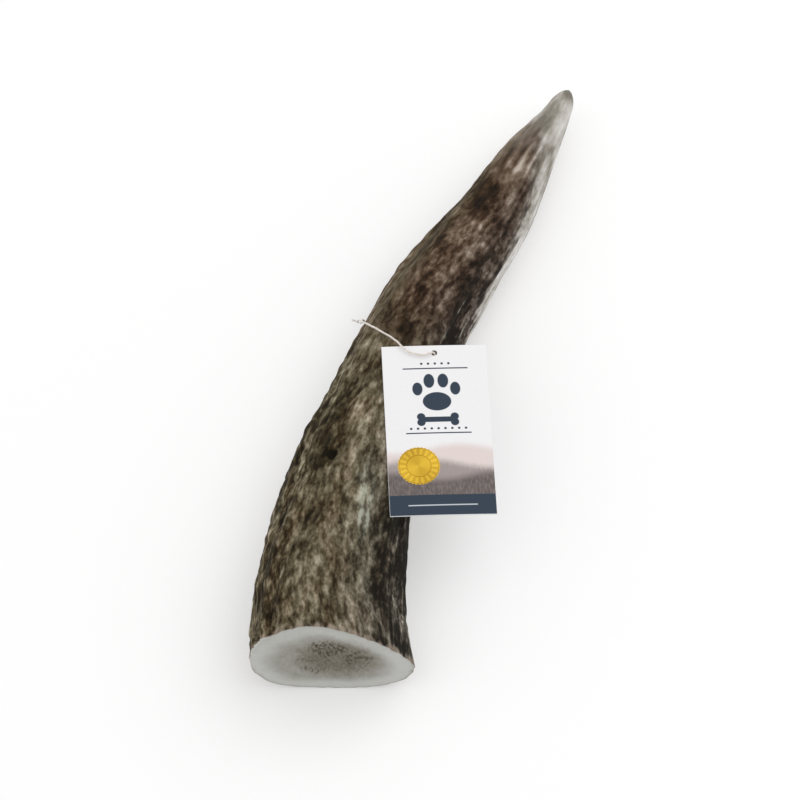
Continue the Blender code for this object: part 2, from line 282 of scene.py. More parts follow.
# In degrees: round the right flank the skin is a more neutral grey, and away from the top both flanks
# are streakier.
NEUTRAL = (8.0, 52.0)
TOP = 78.0
FLANK = (30.0, 75.0)

# The colours of the skin and of worn bone, from dark to pale, and of the sawn face, from rim to core.
OLIVE_SKIN = ((0.0, (20, 15, 6)), (0.25, (53, 45, 28)), (0.5, (96, 88, 68)), (0.75, (139, 131, 109)),
              (1.0, (186, 180, 161)))
BROWN_SKIN = ((0.0, (22, 14, 5)), (0.25, (55, 43, 25)), (0.5, (97, 85, 64)), (0.75, (140, 127, 106)),
              (1.0, (186, 175, 156)))
UPPER_SKIN = ((0.0, (23, 14, 7)), (0.25, (55, 38, 25)), (0.5, (93, 75, 60)), (0.75, (135, 119, 104)),
              (1.0, (184, 171, 159)))
WORN_BONE = ((0.0, (116, 111, 101)), (0.2, (143, 138, 128)), (0.42, (178, 174, 167)),
             (0.75, (212, 209, 205)), (1.0, (226, 224, 221)))
SAWN_BONE = ((0.0, (190, 190, 186)), (0.15, (181, 181, 176)), (0.45, (155, 153, 146)),
             (0.7, (134, 130, 120)), (1.0, (110, 106, 95)))
COOL_GREEN = (172, 175, 160)
FADED_SKIN = (139, 132, 123)
SAWN_SKIN = (152, 138, 124)
# the next colour is the black shade painted in the pit
PIT_BLACK = (14, 10, 5)
# the next colour is the shade painted in the core's pores
PORE_SHADE = (64, 57, 45)

# The hang tag, as in its solid, with the rounding of its edges, its bow, and the size of its faces.
TAG_WIDTH = 34.0
TAG_HEIGHT = 62.0
TAG_THICKNESS = 0.5
TAG_CENTRE = (6.05, -38.2, 32.3)
TAG_TURN = (2.7, 2.0, 2.8)
TAG_EDGE = 0.09
TAG_BOW = 0.25
TAG_CELL = 2.4
HOLE_DIAMETER = 2.0
HOLE_UP = TAG_HEIGHT / 2 - 2.8
HOLE_SIDES = 48

# The tag's card and print, in millimetres from the card's middle.
CARD = ((0.3, (228, 228, 229)), (0.7, (238, 238, 239)))
PRINTED_CARD = ((0.3, (235, 234, 235)), (0.7, (239, 238, 239)))
SLATE = (50, 62, 76)
INK_EDGE = 0.12

# The paw's pads, as (across, up, half width, half height) from its middle, and the bone under it.
PAW_CENTRE = (0.0, 13.2)
PAW_PADS = ((0.0, -3.0, 4.6, 3.4), (-6.1, 1.7, 1.65, 2.4), (-2.25, 4.6, 1.75, 2.6), (2.25, 4.6, 1.75, 2.6),
            (6.1, 1.7, 1.65, 2.4))
BONE_CENTRE = (0.0, 3.6)
BONE_HALF = (5.4, 0.95)
BONE_KNOB = 1.35

# Rows of dots, as (height, number), and the two rules, as (lower edge, upper edge).
DOT_ROWS = ((24.2, 5), (0.3, 9))
DOT_SPACING = 2.2
DOT_RADIUS = 0.42
RULES = ((22.2, 22.65), (-1.6, -1.15))
RULE_HALF = 10.5

# The hills, as (height, height of their waves, frequency, phase, colour), with the height of their grass
# and the depth of their mist, and the meadow below them.
HILLS = ((-6.0, 1.5, 0.16, 0.6, (222, 209, 206)), (-11.5, 1.8, 0.13, 2.4, (160, 149, 146)),
         (-16.0, 1.3, 0.19, 4.6, (96, 88, 86)))
GRASS = 1.2
MIST = (-0.2, 3.5)
MEADOW_FROM = (-12.0, -19.0)
MEADOW = (150, 138, 134)

# The slate band along the bottom, with a pale rule in it.
BAND_TOP = -23.7
BAND_RULE = (BAND_TOP - 3.9, BAND_TOP - 3.5)
BAND_RULE_HALF = 11.0
BAND_RULE_COLOUR = (196, 201, 206)

# The seal; the bands are its rays and its two rings, as (from, to) in shares of its radius.
SEAL_CENTRE = (-7.0, -13.2)
SEAL_RADIUS = 6.7
SEAL_SCALLOPS = 36.0
SEAL_SCALLOP_DEPTH = 0.28
SEAL_BANDS = ((0.62, 0.92), (0.56, 0.60), (0.93, 0.96))
GOLD = ((0.0, (162, 122, 24)), (1.0, (228, 189, 62)))

# The string, with its route as in its solid, its two plies and its stray fibres, which start on it, lean
# along it and bend away from it or towards it.
STRING_DIAMETER = 0.66
STRING_ROUTE = (
    (-18.8, 8.9, 23), (-18.1, 7.7, 24.6), (-17.3, 6, 26.6), (-16, 3.9, 28.6),
    (-14, 1.8, 30), (-11.8, -0.5, 31.1), (-9.7, -2.3, 31.8), (-8.4, -4.2, 33),
    (-7.3, -6.1, 34.5), (-6.2, -7.9, 35.2), (-4.9, -9.4, 35.2), (-3.3, -10.5, 35),
    (-1.3, -11.2, 34.95), (0.9, -11.5, 34.9), (2.4, -11.3, 35), (3.95, -10.65, 35),
    (4.75, -10.05, 33.6), (5.1, -9.9, 31.8), (6.1, -9.8, 28.9), (7.9, -10.2, 25.2),
    (9.9, -10.8, 21.2), (10.9, -10.9, 16.7), (10.2, -10.3, 12.4), (8.6, -9.3, 8),
    (5.5, -7.5, 4.7), (2.3, -5.5, 2.3), (-0.9, -3, 0.9), (-4.5, 1.5, 0.6),
    (-7.2, 5.6, 1.2), (-10.1, 9.2, 2.2), (-13.2, 12, 5), (-15.5, 13.3, 8.6),
    (-17.6, 14, 12.4), (-18.1, 13.8, 15.8), (-18.6, 12.7, 18.5), (-19.1, 11.1, 20.4),
)
STRING_RINGS = 640
STRING_SIDES = 16
PATH_STEPS = 16
PLY_PITCH = 2.3
PLY_DEPTH = 0.20
PLY_SHARPNESS = 1.5
FUZZ_COUNT = 170
FUZZ_MARGIN = 8
FUZZ_LENGTH = (0.5, 1.4)
FUZZ_RADIUS = 0.016
FUZZ_ABOVE = 2.5 * STRING_DIAMETER
FUZZ_FROM = 0.30 * STRING_DIAMETER
FUZZ_LEAN = (0.6, 1.6)
FUZZ_BEND = (-0.30, 0.15)
FIBRE_STEPS = 4
FIBRE_TAPER = 0.6
COTTON = ((0.3, (213, 204, 194)), (0.7, (236, 229, 221)))

# The knot, which is drawn tighter and whiter than the string, and the string's two frayed ends; their
# whiter cotton is painted light against the shade between their strands.
KNOT_CENTRE = (-19.6, 9.9, 21.8)
KNOT_AXIS = (0.2, 0.9, 0.35)
KNOT_SCALE = 0.31
KNOT_RADIUS = 0.27
KNOT_POINTS = 120
KNOT_CLOSED = 0.985
KNOT_PITCH = 1.9
END_DIRECTIONS = ((-0.90, 0.10, 0.42), (-0.93, 0.30, -0.10))
END_RADIUS = 0.28 * STRING_DIAMETER
END_POINTS = 10
END_FROM = 0.4
END_STEP = 0.16
END_DROOP = 0.312
FRAY_COUNT = 20
FRAY_LENGTH = (0.8, 1.5)
FRAY_SPREAD = 0.32
FRAY_RADIUS = 1.2 * FUZZ_RADIUS
FRAY_ROOT = 0.16
FRAY_BACK = 0.2
FRAY_BEND = 0.2
COTTON_ENDS = ((0.3, (226, 223, 218)), (0.7, (243, 241, 238)))

# The floor and the light; each lamp has its name, its place in metres, its size and its power.
FLOOR_HALF = 3.0
FLOOR_GREY = (212, 212, 212)
WHITE = (1.0, 1.0, 1.0, 1.0)
FLOOR_GLOW = 0.32
EVEN_LIGHT = 0.76
LIGHT_AIM = (0.0, 0.0, 0.02)
LAMPS = (("key", (0.55, 0.35, 1.0), 1.2, 4.6), ("fill", (-0.7, -0.3, 0.9), 1.2, 1.7))

# What the antler's material reads at each vertex.
VALUES = ("relief", "tone", "bone", "warm", "olive", "neutral", "cool", "haze", "grit", "flank", "polish",
          "sawn", "core", "heart", "porous")


def smooth_step(value, low=0.0, high=1.0):
    """0 at low and before it, 1 at high and past it, and smooth between."""
    share = min(max((value - low) / (high - low), 0.0), 1.0)
    return share * share * (3.0 - 2.0 * share)


def eased(start, end, leaving, arriving, t):
    """A smooth curve from start to end that leaves and arrives at given speeds, as t goes from 0 to 1."""
    rise = (3.0 - 2.0 * t) * t * t
    return start + (end - start) * rise + leaving * t * (1.0 - t) ** 2 - arriving * t * t * (1.0 - t)


def slope(row, column):
    """How fast a column of STATIONS changes along the antler at one of its rows."""
    before = STATIONS[max(row - 1, 0)]
    after = STATIONS[min(row + 1, len(STATIONS) - 1)]
    return (after[column] - before[column]) / (after[0] - before[0])


def station(along, column):
    """A column of STATIONS, read on a smooth curve through its rows."""
    row = 0
    while row < len(STATIONS) - 2 and along > STATIONS[row + 1][0]:
        row += 1
    start, end = STATIONS[row], STATIONS[row + 1]
    gap = end[0] - start[0]
    leaving, arriving = slope(row, column) * gap, slope(row + 1, column) * gap
    return eased(start[column], end[column], leaving, arriving, (along - start[0]) / gap)


def slope_at(along):
    """How fast the antler's middle moves across at a distance along it."""
    step = 0.5
    low, high = max(0.0, along - step), min(LENGTH, along + step)
    return (station(high, ACROSS) - station(low, ACROSS)) / (high - low)


def layer(u, w, along, sizes, shift):
    """One layer of noise that is stretched along the antler, from about -1 to 1."""
    _, around, length = sizes
    return noise.noise(Vector((u / around, w / around + shift, along / length)))


class Section:
    """The antler's section at one distance along it."""

    def __init__(self, along):
        self.along = along
        self.egg = 1.0 - smooth_step(along / EGG_REACH)
        self.thickness = 2.0 * station(along, HALF_THICKNESS)
        self.widest = self.thickness * (0.5 + (EGG_WIDEST - 0.5) * self.egg)
        self.half_width = station(along, HALF_WIDTH)
        self.across = station(along, ACROSS)
        self.underside = station(along, UNDERSIDE)
        self.heading = math.atan(slope_at(along)) * smooth_step(along / SQUARE_REACH)
        rounding = max(0.0, (along - (LENGTH - TIP_ROUNDING)) / TIP_ROUNDING)
        self.tip_share = math.sqrt(max(0.0, 1.0 - rounding * rounding))
        self.worn = smooth_step(along, *RIDGES_FADE)

    def swelling(self, turn):
        """How far the skin stands out from the smooth section."""
        swelling = noise.noise(turn * SWELLING_TURNS + Vector((7.0, 3.0, self.along / SWELLING_LENGTH)))
        ridges = noise.noise(turn * RIDGE_TURNS + Vector((0.0, 0.0, self.along / RIDGE_LENGTH)))
        height = 1.0 - self.worn * (1.0 - RIDGES_LEFT_AT_TIP)
        height *= RIDGES_LEFT_AT_CUT + (1.0 - RIDGES_LEFT_AT_CUT) * smooth_step(self.along / CUT_REACH)
        return (SWELLING_HEIGHT * swelling + RIDGE_HEIGHT * ridges) * height

    def fine(self, u, w):
        """The skin's fine relief: streaks, flecks, lumps, grooves and a knobbly left flank."""
        streak = STREAKS[0] * layer(u, w, self.along, STREAKS, 0.0)
        fleck = FLECKS[0] * layer(u, w, self.along, FLECKS, 40.0)
        lumps = LUMPS[0] * layer(u, w, self.along, LUMPS, 80.0)
        lumps *= 1.0 - smooth_step(self.along, *LUMPS_FADE)
        knobs = KNOBS[0] * layer(u, w, self.along, KNOBS, 160.0)
        knobs *= smooth_step(-u / self.half_width, KNOBS_FROM) * smooth_step(self.along / CUT_REACH)
        knobs *= 1.0 - (1.0 - KNOBS_LEFT_AT_TIP) * smooth_step(self.along, *KNOBS_FADE)
        groove = GROOVES[0] * math.exp(-(layer(u, w, self.along, GROOVES, 120.0) / GROOVE_WIDTH) ** 2)
        left = 1.0 - self.worn * (1.0 - FINE_LEFT_AT_TIP)
        return (streak + fleck + lumps - groove) * left + knobs

    def radius(self, across, up):
        """How far the smooth section reaches in a direction."""
        height = self.thickness - self.widest if up > 0.0 else self.widest
        power = 2.0 + ((EGG_UPPER_POWER if up > 0.0 else EGG_LOWER_POWER) - 2.0) * self.egg
        return (abs(across / self.half_width) ** power + abs(up / height) ** power) ** (-1.0 / power)

    def point(self, angle, share=1.0, raised=True):
        """(place in metres, u, w, fine relief) of a point of the section."""
        across, up = math.cos(angle), math.sin(angle)
        radius = self.radius(across, up) + self.swelling(Vector((across, up, 0.0)))
        fine = self.fine(radius * across, radius * up) if raised else 0.0
        radius = (radius + fine) * self.tip_share * share
        u, w = radius * across, radius * up
        u -= EGG_LEAN * self.egg * max(w, 0.0) / (self.thickness - self.widest)
        w -= EGG_TILT * self.egg * u * min(1.0, max(0.0, (w + self.widest) / self.widest))
        x = self.across + u * math.cos(self.heading)
        y = self.along - u * math.sin(self.heading)
        z = max(self.underside + self.widest + w, 0.0)
        return (BASE_CENTRE + Vector((x, y, z))) * MM, u, w, fine


def degrees_apart(a, b):
    """The angle from b to a, from -180 to 180 degrees."""
    return (a - b + 180.0) % 360.0 - 180.0


def bump(along, degrees, middle, angle, reach_along, reach_around, much=1.0, lean=0.0):
    """A soft spot on the skin, which may lean by some degrees for each millimetre."""
    a = (along - middle) / reach_along
    b = degrees_apart(degrees - lean * (along - middle), angle) / reach_around
    return much * math.exp(-(a * a + b * b))


def flank_share(degrees, middle, reach):
    """1 at an angle round the antler, and 0 well away from it."""
    return math.exp(-(degrees_apart(degrees, middle) / reach) ** 2)


def curve_at(along, rows):
    """A value read between the rows of a small table."""
    return float(np.interp(along, [row[0] for row in rows], [row[1] for row in rows]))


def bone_share(along, degrees):
    """How far the skin is worn to pale bone: 1 on the strip and the tip, 0 on the dark skin."""
    signed = degrees_apart(degrees, 0.0)
    upper, lower = curve_at(along, STRIP_UPPER), curve_at(along, STRIP_LOWER)
    inside = min(upper - signed, signed - lower) / curve_at(along, STRIP_SOFTNESS)
    return smooth_step(0.5 + 0.25 * inside)


def pit_share(place, pit):
    """1 in the middle of the pit, 0 outside it."""
    gap = (place - pit) / MM
    distance = math.hypot(gap.x / PIT_RADIUS[0], gap.y / PIT_RADIUS[1], gap.z / PIT_RADIUS[0])
    return smooth_step(PIT_END - distance)


class Surface:
    """Collects the antler's vertices, ring by ring, with what its material reads from them."""

    def __init__(self):
        self.places, self.grain, self.map, self.faces = [], [], [], []
        self.values = {name: [] for name in VALUES}

    def add(self, place, grain, spot, **values):
        """Adds a vertex, and returns its number."""
        self.places.append(place)
        self.grain.append(grain)
        self.map.append(spot)
        for name, column in self.values.items():
            column.append(values.get(name, 0.0))
        return len(self.places) - 1

    def join(self, outer, inner):
        """Fills the band between two rings, where the inner one may have half as many vertices."""
        count, half = len(outer), len(inner)
        for i in range(half):
            j = (i + 1) % half
            if half == count:
                self.faces.append((outer[i], outer[j], inner[j], inner[i]))
            else:
                a, b, c = outer[2 * i], outer[2 * i + 1], outer[2 * j]
                self.faces += [(a, b, inner[i]), (b, inner[j], inner[i]), (b, c, inner[j])]

    def close(self, ring, middle):
        """Fills a ring with triangles that meet in one vertex."""
        for i, vertex in enumerate(ring):
            self.faces.append((vertex, ring[(i + 1) % len(ring)], middle))


def skin_values(along, degrees):
    """What the skin's material reads at a place."""
    olive = bump(along, degrees, *OLIVE_PATCH)
    warm = smooth_step(along, *WARM_FROM)
    flank = smooth_step(abs(degrees_apart(degrees, TOP)), *FLANK)
    polish = smooth_step(along, *POLISHED)
    right = flank_share(degrees, *NEUTRAL)
    at_skin = SAWN_AT_SKIN + (1.0 - SAWN_AT_SKIN) * flank_share(degrees, *SAWN_LEFT)
    return {
        # the tone darkens the right flank partly as painted shade
        "tone": sum(bump(along, degrees, *tone) for tone in TONES),
        "bone": bone_share(along, degrees),
        "warm": warm * (1.0 - 0.75 * olive),
        "olive": olive,
        "neutral": right,
        "haze": bump(along, degrees, *HAZE_PATCH),
        "cool": max(bump(along, degrees, *streak) for streak in COOL_STREAKS),
        # the fine pattern: stronger on the flanks, weaker where the skin is warm, olive or polished
        "grit": (0.85 + 0.30 * flank) * (1.0 - 0.15 * warm) * (1.0 - 0.5 * olive) * (1.0 - 0.45 * polish),
        # the flanks' streaks: strongest on the right
        "flank": flank * (0.55 + 0.95 * right),
        "polish": polish,
        "sawn": at_skin * (1.0 - smooth_step(along, SAWN_CHAMFER, SAWN_CHAMFER + SAWN_REACH)),
    }


def skin_ring(surface, section, pit):
    """Adds one ring of the skin."""
    ring = []
    middle = (BASE_CENTRE + Vector((section.across, section.along, section.thickness / 2))) * MM
    for i in range(AROUND):
        angle = math.tau * i / AROUND
        place, u, w, fine = section.point(angle)
        place = place.lerp(middle, pit_share(place, pit) * PIT_DEPTH / section.half_width)
        spot = (MAP_MARGIN + section.along * MAP_SCALE, MAP_MARGIN + MAP_AROUND * i / AROUND)
        values = skin_values(section.along, math.degrees(angle))
        relief = fine / (STREAKS[0] + FLECKS[0])
        ring.append(surface.add(place, (u, w, section.along), spot, relief=relief, **values))
    return ring


def porosity(u, w):
    """How closely the spongy core's pores crowd at a point of the sawn face, from 0 to 1."""
    crowding, waver, size = PORE_CROWDING
    crowding += waver * noise.noise(Vector((u / size, w / size, 9.0)))
    for x, y, reach, much in PORE_CLUSTERS:
        crowding += much * math.exp(-((u - x) ** 2 + (w - y) ** 2) / reach ** 2)
    return smooth_step(crowding)


def pore_depth(u, w):
    """How deep the spongy core's larger pores are at a point of the sawn face, in millimetres."""
    distances, _ = noise.voronoi(Vector((u / PORE_SPACING[0], w / PORE_SPACING[1], 3.0)))
    return PORE_DEPTH * smooth_step(1.0 - distances[0] / PORE_RADIUS) * porosity(u, w)


def face_ring(surface, section, share, count):
    """Adds one ring of the sawn face."""
    ring = []
    for i in range(count):
        angle = math.tau * i / count
        place, u, w, _ = section.point(angle, share, raised=share > 0.9)
        above, below = w / (section.thickness - section.widest), -w / section.widest
        edge = share - CORE_WAVER * noise.noise(Vector((2.5 * math.cos(angle), 2.5 * math.sin(angle), 5.0)))
        edge -= (CORE_SHIFT[0] * u + CORE_SHIFT[1] * w) / section.half_width
        core = smooth_step(edge, *CORE_EDGE)
        # the pale rim reaches further in along the bottom: painted light against the shade there
        tint = smooth_step(edge + LOW_RIM_WIDER * smooth_step(below), *CORE_TINT)
        tint = max(tint, UPPER_RIM_TINT * smooth_step(UPPER_RIM_RISE * above))
        if share > LOW_EDGE_FROM:
            tint = max(tint, LOW_EDGE_TINT * smooth_step(LOW_EDGE_RISE * below))
        x, y, wide, high = CORE_HEART
        heart = smooth_step(math.hypot((u - x) / wide, (w - y) / high), *HEART_EDGE)
        uneven = CORE_UNEVENNESS * noise.noise(Vector((u / CORE_LUMPS, w / CORE_LUMPS, 1.0)))
        place.y += core * (CORE_DEPTH + uneven + pore_depth(u, w)) * MM
        spot = (FACE_MAP_CENTRE[0] + u * FACE_MAP_SCALE, FACE_MAP_CENTRE[1] + w * FACE_MAP_SCALE)
        ring.append(surface.add(place, (u, w, 0.0), spot, sawn=1.0, core=tint, heart=heart,
                                porous=core * porosity(u, w)))
    return ring


def collect_antler():
    """The antler's skin from its cut to its tip, and the skin's first ring."""
    surface = Surface()
    pit = Section(PIT_ALONG).point(PIT_ANGLE)[0]
    rings = []
    for step in range(ALONG + 1):
        share = step / ALONG
        share += RINGS_CROWD * share * (1.0 - share)
        rings.append(skin_ring(surface, Section(SAWN_CHAMFER + (LAST_RING - SAWN_CHAMFER) * share), pit))
    for outer, inner in zip(rings, rings[1:]):
        surface.join(outer, inner)
    tip = surface.add(Section(LENGTH).point(0.0, 0.0)[0], (0.0, 0.0, LENGTH), (MAP_TIP, MAP_AROUND / 2),
                      bone=1.0, warm=1.0)
    surface.close(rings[-1], tip)
    return surface, rings[0]


def collect_face(surface, outer):
    """Adds the sawn face inside the skin's first ring, and returns the number of its first face."""
    first = len(surface.faces)
    section = Section(0.0)
    for start, end, count, around in FACE_RINGS:
        for step in range(count):
            inner = face_ring(surface, section, start + (end - start) * step / (count - 1), around)
            surface.join(outer, inner)
            outer = inner
    surface.close(outer, face_ring(surface, section, 0.0, 1)[0])
    return first


def new_mesh(name, places, faces):
    """A mesh whose faces all look out."""
    mesh = bpy.data.meshes.new(name)
    mesh.from_pydata([tuple(place) for place in places], [], faces)
    bm = bmesh.new()
    bm.from_mesh(mesh)
    bmesh.ops.recalc_face_normals(bm, faces=bm.faces)
    bm.to_mesh(mesh)
    bm.free()
    mesh.shade_smooth()
    return mesh


def give_values(mesh, name, values):
    """Stores a number or a vector on each vertex, for a material to read."""
    values = np.array(values, np.float32)
    kind, field = ("FLOAT", "value") if values.ndim == 1 else ("FLOAT_VECTOR", "vector")
    mesh.attributes.new(name, kind, "POINT").data.foreach_set(field, values.ravel())


def new_object(name, data):
    """An object in the scene."""
    made = bpy.data.objects.new(name, data)
    bpy.context.scene.collection.objects.link(made)
    return made


def give_map(mesh, spots, face_first):
    """Lays the antler's skin out along the map's lower part, and its sawn face above it."""
    layer_ = mesh.uv_layers.new(name="OFBake")
    vertex = np.empty(len(mesh.loops), np.int32)
    mesh.loops.foreach_get("vertex_index", vertex)
    places = np.array(spots, np.float32)[vertex]
    for polygon in mesh.polygons:
        loops = slice(polygon.loop_start, polygon.loop_start + polygon.loop_total)
        rows = places[loops, 1]
        if polygon.index < face_first and rows.max() - rows.min() > 0.5 * MAP_AROUND:
            rows[rows < 0.5 * MAP_AROUND] += MAP_AROUND
    layer_.uv.foreach_set("vector", places.ravel())


def put(name, mesh, slot_name, *materials):
    """Puts a mesh in the scene, with its materials."""
    made = new_object(name, mesh)
    for material in materials:
        mesh.materials.append(material)
    return made


def build_antler():
    """The antler's skin, pit and sawn face."""
    surface, edge = collect_antler()
    face_first = collect_face(surface, edge)
    mesh = new_mesh("antler_surface", surface.places, surface.faces)
    give_values(mesh, "grain", surface.grain)
    for name, column in surface.values.items():
        give_values(mesh, name, column)
    give_map(mesh, surface.map, face_first)
    antler = put("antler_surface", mesh, "antler", antler_material())
    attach(antler, "root")
    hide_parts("antler")


# ---- materials


def linear(colour):
    """A colour given from 0 to 255, as a shader takes it."""
    shares = [part / 255.0 for part in colour]
    return (*(s / 12.92 if s <= 0.04045 else ((s + 0.055) / 1.055) ** 2.4 for s in shares), 1.0)


class Value:
    """A number, vector or colour that a material works out; arithmetic with it adds nodes."""

    def __init__(self, shader, socket):
        self.shader = shader
        self.socket = socket

    def math(self, operation, *others):
        inputs = dict(enumerate((self, *others)))
        return self.shader.node("ShaderNodeMath", inputs, operation=operation)

    def __add__(self, other):
        return self.math("ADD", other)

    def __sub__(self, other):
        return self.math("SUBTRACT", other)

    def __mul__(self, other):
        return self.math("MULTIPLY", other)

    def vector(self, operation, other):
        return self.shader.node("ShaderNodeVectorMath", {0: self, 1: other}, operation=operation)

    def noise(self, scales, detail, roughness=0.5):
        """Noise from 0 to 1, with a scale for each axis."""
        inputs = {"Vector": self.vector("MULTIPLY", scales), "Scale": 1.0, "Detail": detail,
                  "Roughness": roughness}
        return self.shader.node("ShaderNodeTexNoise", inputs)

    def step(self, low, high, to_low=0.0, to_high=1.0):
        """The value, taken smoothly from the range low to high to another range."""
        inputs = {"Value": self, "From Min": low, "From Max": high, "To Min": to_low, "To Max": to_high}
        return self.shader.node("ShaderNodeMapRange", inputs, interpolation_type="SMOOTHSTEP")

    def mix(self, colour, other):
        """A colour, mixed with another by this share of it."""
        other = other if isinstance(other, Value) else linear(other)
        return self.shader.node("ShaderNodeMix", {0: self, 6: colour, 7: other}, 2, data_type="RGBA")

    def ramp(self, stops):
        """A colour read from a ramp; stops are (position, colour)."""
        made = self.shader.node("ShaderNodeValToRGB", {0: self})
        elements = made.socket.node.color_ramp.elements
        while len(elements) < len(stops):
            elements.new(0.5)
        for element, (position, colour) in zip(elements, stops):
            element.position = position
            element.color = linear(colour)
        return made


class Shader:
    """Builds one material's nodes."""

    def __init__(self, name, **fixed):
        self.material = bpy.data.materials.new(name)
        self.material.use_nodes = True
        self.tree = self.material.node_tree
        self.surface = self.tree.nodes["Principled BSDF"]
        self.set(self.surface, {key.replace("_", " "): value for key, value in fixed.items()})

    def set(self, node, inputs):
        """Sets a node's inputs; each is a number, a colour or a Value."""
        for key, value in inputs.items():
            if isinstance(value, Value):
                self.tree.links.new(value.socket, node.inputs[key])
            else:
                node.inputs[key].default_value = value

    def node(self, kind, inputs, output=0, **settings):
        """Adds a node, and returns one of its outputs."""
        made = self.tree.nodes.new(kind)
        for key, value in settings.items():
            setattr(made, key, value)
        self.set(made, inputs)
        return Value(self, made.outputs[output])

    def read(self, name, output="Fac"):
        """What a mesh stores under a name."""
        return self.node("ShaderNodeAttribute", {}, output, attribute_name=name)

    def finish(self, **inputs):
        """Sets the surface's inputs, and returns the material."""
        self.set(self.surface, {key.replace("_", " "): value for key, value in inputs.items()})
        return self.material


def layer_of(grain, layout):
    """One layer of the skin's pattern, about -0.5 to 0.5."""
    around, along = layout
    return grain.noise((around, around, along), LAYER_DETAIL) - 0.5


def weighed(layers, weights):
    """Layers of the pattern, added up by their weights."""
    first, *others = [layers[name] * weight for name, weight in weights.items()]
    return sum(others, first)


def skin_tone(shader, layers):
    """The skin's pattern, from dark to pale, about 0 to 1."""
    more, least = COARSE_BY_WARMTH
    coarse = weighed(layers, COARSE) * (shader.read("warm") * more + least)
    fine = weighed(layers, FINE) + shader.read("relief") * RELIEF_WEIGHT
    fibre = weighed(layers, STREAKY) * shader.read("flank")
    polish = shader.read("polish")
    pattern = (fine * shader.read("grit") + coarse + fibre) * (polish * (POLISHED_CONTRAST - 1.0) + 1.0)
    lift = polish * POLISHED_LIFT + shader.read("cool") * COOL_LIFT
    return pattern + lift + shader.read("tone") + MEAN_TONE


def skin_colour(shader, grain, tone):
    """Olive and khaki brown on the lower part, and a redder brown further up."""
    hue = (layer_of(grain, HUE) - shader.read("olive")).step(*HUE_EDGE)
    lower = hue.mix(tone.ramp(OLIVE_SKIN), tone.ramp(BROWN_SKIN))
    colour = shader.read("warm").mix(lower, tone.ramp(UPPER_SKIN))
    saturation = shader.read("neutral") * NEUTRAL_SATURATION + 1.0
    return shader.node("ShaderNodeHueSaturation", {"Color": colour, "Saturation": saturation})


def bone_colour(shader, grain, layers):
    """The polished bone of the worn strip and the tip."""
    cloud = grain.noise(BONE_CLOUD, 3.0, 0.55) * BONE_CLOUD_WEIGHT
    pattern = weighed(layers, BONE_PATTERN) - weighed(layers, BONE_LESS_PATTERN) * shader.read("polish")
    return (cloud + pattern + shader.read("tone") - BONE_MEAN).ramp(WORN_BONE)


def worn_share(shader, layers):
    """Where the skin is worn through to bone, in long streaks where the two meet."""
    bone = shader.read("bone")
    streaks = weighed(layers, WORN_RAGGED) - weighed(layers, WORN_LESS_RAGGED) * shader.read("polish")
    between = bone - bone * bone
    return (streaks * between + bone).step(*WORN_EDGE)


def pit_shade(shader, grain, layers):
    """The black shade painted in the pit, from 0 to 1."""
    _, u, w, _ = Section(PIT_ALONG).point(PIT_ANGLE)
    offset = grain.vector("SUBTRACT", (u, w, PIT_ALONG)).vector("MULTIPLY", PIT_SHADE_SCALE)
    distance = shader.node("ShaderNodeVectorMath", {0: offset}, "Value", operation="LENGTH")
    return (distance + weighed(layers, PIT_RAGGED)).step(*PIT_EDGE)


def pore_shade(shader, grain):
    """Shade painted in the pores where the core is porous, from 0 to 1."""
    porous = shader.read("porous")
    sponge = grain.noise((1.15, 0.58, 1.0), 2.0, 0.6)
    return (porous * 0.12 + sponge).step(0.52, 0.74) * porous * 0.85


def sawn_colour(shader, grain):
    """The sawn face: a pale compact rim that turns beige, then a darker spongy core with pores, whose shade
    is painted.
    """
    heart = shader.read("heart")
    depth = shader.read("core") * 0.45 + heart * 0.5
    depth += (grain.noise((0.22, 0.22, 0.22), 4.0, 0.6) - 0.5) * 0.35
    depth += (grain.noise((1.0, 0.45, 1.0), 3.0, 0.65) - 0.5) * (heart * 1.1 + 0.16)
    # the pores are painted dark brown: painted shade in them, over shallow modelled pits
    return pore_shade(shader, grain).mix(depth.ramp(SAWN_BONE), PORE_SHADE)


